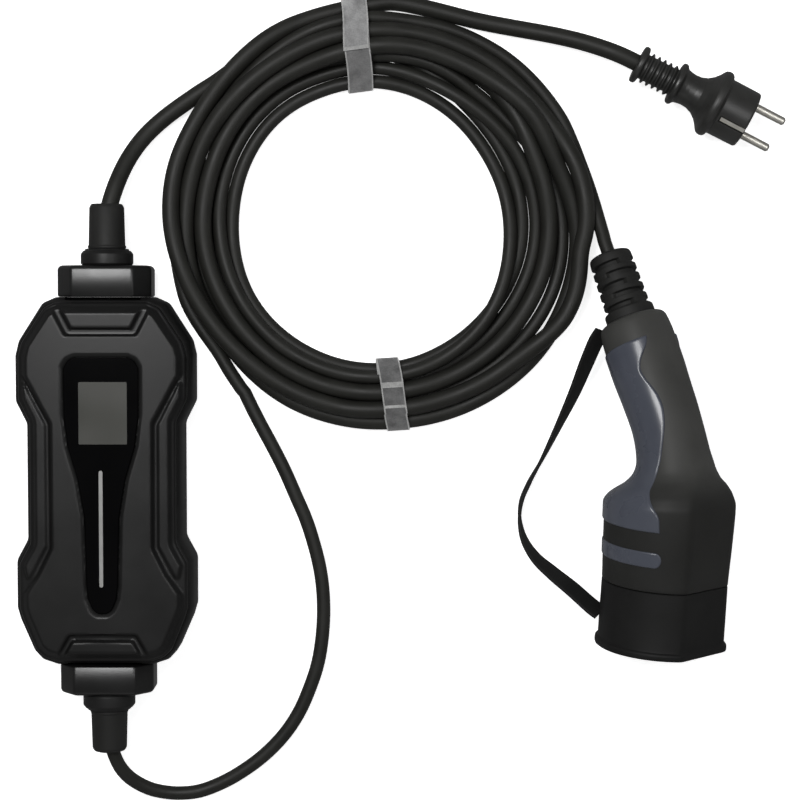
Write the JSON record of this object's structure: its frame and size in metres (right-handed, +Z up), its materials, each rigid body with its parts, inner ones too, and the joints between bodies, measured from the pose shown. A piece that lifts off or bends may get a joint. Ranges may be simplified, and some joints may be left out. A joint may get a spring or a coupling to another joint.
{
  "type": "portable ev charger",
  "caption": "Portable charging lead with a control box, an earthed mains plug, a coiled pair of cords held by straps, and a pistol-grip vehicle connector with a tethered dust cap.",
  "frame": {"origin": "centre of the control box's flat back, on the surface that the charger lies on", "axes": "+Z up out of the box's display side, +Y towards the mains end of the box, +X towards the coil and the connector"},
  "size_m": [0.4498, 0.4802, 0.0833],
  "materials": {
    "shell_satin": "satin dark grey moulding with a fine texture",
    "shell_black": "black moulding",
    "gasket_rubber": "soft seal",
    "steel": "plated screw",
    "lens_black": "gloss black lens",
    "lcd_grey": "grey-green display, unlit",
    "light_guide": "milky light guide",
    "board_green": "solder mask",
    "relay_blue": "moulded relay case",
    "ferrite": "potted toroid",
    "winding_tape": "taped winding",
    "capacitor": "sleeved can",
    "terminal_green": "moulded terminal",
    "wire_brown": "core insulation",
    "wire_blue": "core insulation",
    "nut_black": "moulded nut",
    "boot_rubber": "matte rubber",
    "mains_jacket": "matte rubber jacket",
    "vehicle_jacket": "matte jacket",
    "strap_fabric": "grey hook-and-loop tape",
    "plug_rubber": "moulded rubber",
    "contact_metal": "nickel plated brass",
    "connector_black": "matte moulding",
    "insert_gloss": "gloss blue-grey moulding",
    "nose_black": "moulding",
    "clamp_grey": "moulding",
    "cap_rubber": "soft rubber"
  },
  "bodies": {
    "root": {"upper_shell": "shell_satin", "lower_shell": "shell_black", "shell_gasket": "gasket_rubber", "housing_screws": "steel", "display_window": "lens_black", "lcd_module": "lcd_grey", "light_guide": "light_guide", "display_board": "board_green", "main_board": "board_green", "board_screws": "steel", "power_relays": "relay_blue", "leakage_sensor": "ferrite", "supply_transformer": "winding_tape", "filter_capacitors": "capacitor", "mains_terminal": "terminal_green", "vehicle_terminal": "terminal_green", "mains_wires": "wire_brown", "vehicle_wires": "wire_blue", "mains_end_block": "shell_black", "vehicle_end_block": "shell_black", "mains_gland_nut": "nut_black", "vehicle_gland_nut": "nut_black", "mains_boot": "boot_rubber", "vehicle_boot": "boot_rubber", "mains_cord_box_run": "mains_jacket", "mains_cord_plug_run": "mains_jacket", "cord_coil": "mains_jacket", "vehicle_cord_box_run": "vehicle_jacket", "vehicle_cord_connector_run": "vehicle_jacket", "coil_strap_top": "strap_fabric", "coil_strap_bottom": "strap_fabric", "plug_body": "plug_rubber", "plug_pins": "contact_metal", "plug_earth_contacts": "contact_metal", "connector_body": "connector_black", "grip_insert": "insert_gloss", "nose_shell": "nose_black", "contact_carrier": "nose_black", "power_contacts": "contact_metal", "pilot_contacts": "contact_metal", "cord_clamp": "clamp_grey", "clamp_screws": "steel", "connector_wires": "wire_blue", "connector_boot": "boot_rubber", "cap_tether": "cap_rubber"},
    "cap": {"dust_cap": "cap_rubber"}
  },
  "joints": [
    {"name": "cap_pull", "type": "slide", "parent": "root", "child": "cap", "axis": [-0.0521, -0.9948, -0.0872], "range_m": [0, 0.031], "deforming": ["cap_tether"]}
  ]
}
